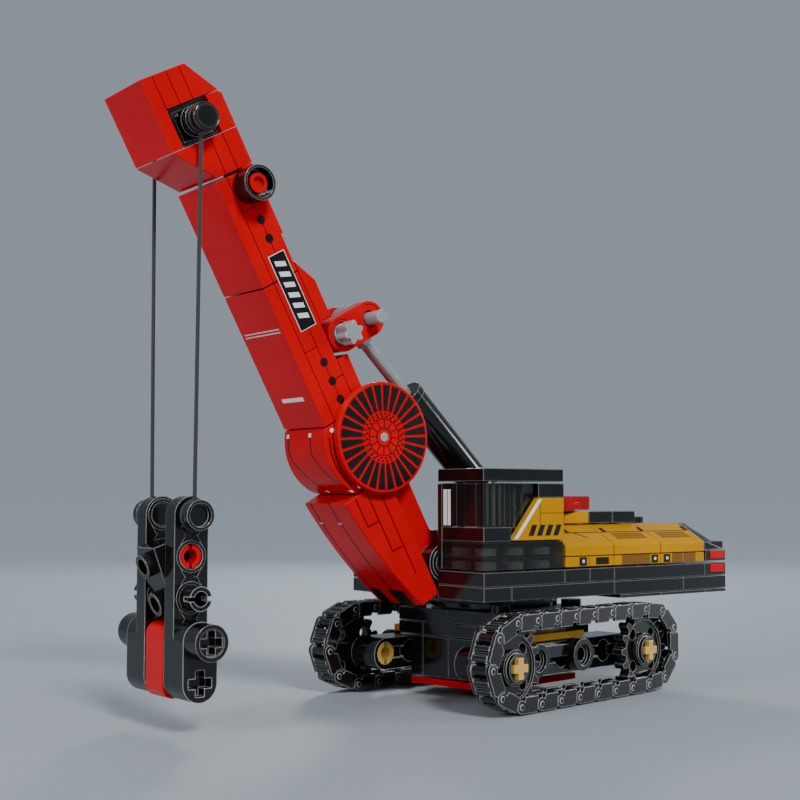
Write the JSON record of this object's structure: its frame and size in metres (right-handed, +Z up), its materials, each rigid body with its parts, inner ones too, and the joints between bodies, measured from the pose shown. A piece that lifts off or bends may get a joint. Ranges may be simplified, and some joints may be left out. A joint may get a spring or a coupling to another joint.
{
  "type": "toy crawler crane",
  "caption": "Interlocking-brick toy crawler crane: slewing house with cab and engine hood on chain tracks, leaning box boom with a hydraulic cylinder, and a hanging grab.",
  "frame": {"origin": "middle of the footprint, on the surface that the tracks stand on", "axes": "+X towards the cab side, +Y towards the tail of the house, +Z up; the boom points along -Y"},
  "size_m": [0.0649, 0.154, 0.1317],
  "materials": {
    "black": "glossy",
    "red": "glossy",
    "yellow": "glossy",
    "tan": "satin",
    "light_grey": "glossy",
    "smoke": "glossy",
    "clear_red": "glossy",
    "string": "matte"
  },
  "bodies": {
    "undercarriage": {"chassis_core": "black", "belly_plate": "red", "deck_plate_lower": "black", "deck_plate_upper": "black", "turntable_base": "black", "track_beam_left": "black", "track_beam_right": "black", "track_chain_left": "black", "track_chain_right": "black"},
    "left_front_sprocket": {"sprocket_left_front": "black", "axle_pin_left_front": "tan"},
    "left_rear_sprocket": {"sprocket_left_rear": "black", "axle_pin_left_rear": "tan"},
    "right_front_sprocket": {"sprocket_right_front": "black", "axle_pin_right_front": "tan"},
    "right_rear_sprocket": {"sprocket_right_rear": "black", "axle_pin_right_rear": "tan"},
    "house": {"turntable_top": "black", "house_base_lower": "black", "house_base_upper": "black", "cab_frame": "black", "cab_roof": "black", "cab_side_panel": "yellow", "cab_window_lower": "smoke", "cab_window_upper": "smoke", "engine_hood_left": "yellow", "engine_hood_right": "yellow", "front_box_right": "black", "centre_deck": "black", "service_plates": "black", "beacon_mount": "yellow", "beacon": "clear_red", "tail_block": "black", "boom_bracket": "black", "foot_pin": "black", "cylinder_foot": "black"},
    "boom": {"boom_wedge": "red", "boom_knee": "red", "boom_mid": "red", "boom_upper": "red", "boom_head": "red", "head_frame": "black", "back_strip": "red", "back_hump": "red", "cylinder_lug_left": "red", "cylinder_lug_right": "red", "lug_axle": "light_grey", "rod_pin": "light_grey"},
    "reel": {"reel_disc_left": "red", "reel_disc_right": "red"},
    "ring": {"ring_wheel": "black"},
    "hanger": {"head_shaft": "black"},
    "barrel": {"cylinder_barrel": "black"},
    "rod": {"cylinder_rod": "light_grey"},
    "strings": {"rope_left": "string", "rope_right": "string"},
    "grab": {"grab_arm_left": "black", "grab_arm_right": "black", "grab_core": "red", "grab_link": "black"}
  },
  "joints": [
    {"name": "slew", "type": "hinge", "parent": "undercarriage", "child": "house", "pos_m": [0, 0.02095, 0.0217], "axis": [0, 0, 1], "continuous": true},
    {"name": "boom_luff", "type": "hinge", "parent": "house", "child": "boom", "pos_m": [0, -0.00075, 0.0312], "axis": [1, 0, 0], "range_deg": [-20, 5]},
    {"name": "barrel_tilt", "type": "hinge", "parent": "house", "child": "barrel", "pos_m": [0, 0.02995, 0.035], "axis": [1, 0, 0], "range_deg": [-15.5, 4.5]},
    {"name": "rod_slide", "type": "slide", "parent": "barrel", "child": "rod", "axis": [0, -0.7208, 0.6932], "range_m": [-0.0093, 0.0025]},
    {"name": "reel_spin", "type": "hinge", "parent": "boom", "child": "reel", "pos_m": [0, -0.01928, 0.05866], "axis": [1, 0, 0], "continuous": true},
    {"name": "ring_spin", "type": "hinge", "parent": "boom", "child": "ring", "pos_m": [0, -0.05239, 0.1089], "axis": [1, 0, 0], "continuous": true},
    {"name": "hanger_level", "type": "hinge", "parent": "boom", "child": "hanger", "pos_m": [0, -0.06435, 0.12057], "axis": [1, 0, 0], "range_deg": [-6, 21]},
    {"name": "string_swing", "type": "hinge", "parent": "hanger", "child": "strings", "pos_m": [0, -0.06435, 0.12057], "axis": [1, 0, 0], "range_deg": [-15, 15]},
    {"name": "grab_tilt", "type": "hinge", "parent": "strings", "child": "grab", "pos_m": [0, -0.06435, 0.0423], "axis": [1, 0, 0], "range_deg": [-25, 25]},
    {"name": "left_front_spin", "type": "hinge", "parent": "undercarriage", "child": "left_front_sprocket", "pos_m": [0.02776, 0.00057, 0.0099], "axis": [0.9905, 0.1374, 0], "continuous": true},
    {"name": "left_rear_spin", "type": "hinge", "parent": "undercarriage", "child": "left_rear_sprocket", "pos_m": [0.02117, 0.04812, 0.0099], "axis": [0.9905, 0.1374, 0], "continuous": true},
    {"name": "right_front_spin", "type": "hinge", "parent": "undercarriage", "child": "right_front_sprocket", "pos_m": [-0.02117, -0.00622, 0.0099], "axis": [0.9905, 0.1374, 0], "continuous": true},
    {"name": "right_rear_spin", "type": "hinge", "parent": "undercarriage", "child": "right_rear_sprocket", "pos_m": [-0.02776, 0.04133, 0.0099], "axis": [0.9905, 0.1374, 0], "continuous": true}
  ],
  "couplings": [
    {"joint": "barrel_tilt", "follows": "boom_luff", "ratio": 0.7498},
    {"joint": "rod_slide", "follows": "boom_luff", "m_per_rad": 0.02572},
    {"joint": "hanger_level", "follows": "boom_luff", "ratio": -1},
    {"joint": "left_rear_spin", "follows": "left_front_spin", "ratio": 1},
    {"joint": "right_rear_spin", "follows": "right_front_spin", "ratio": 1}
  ]
}
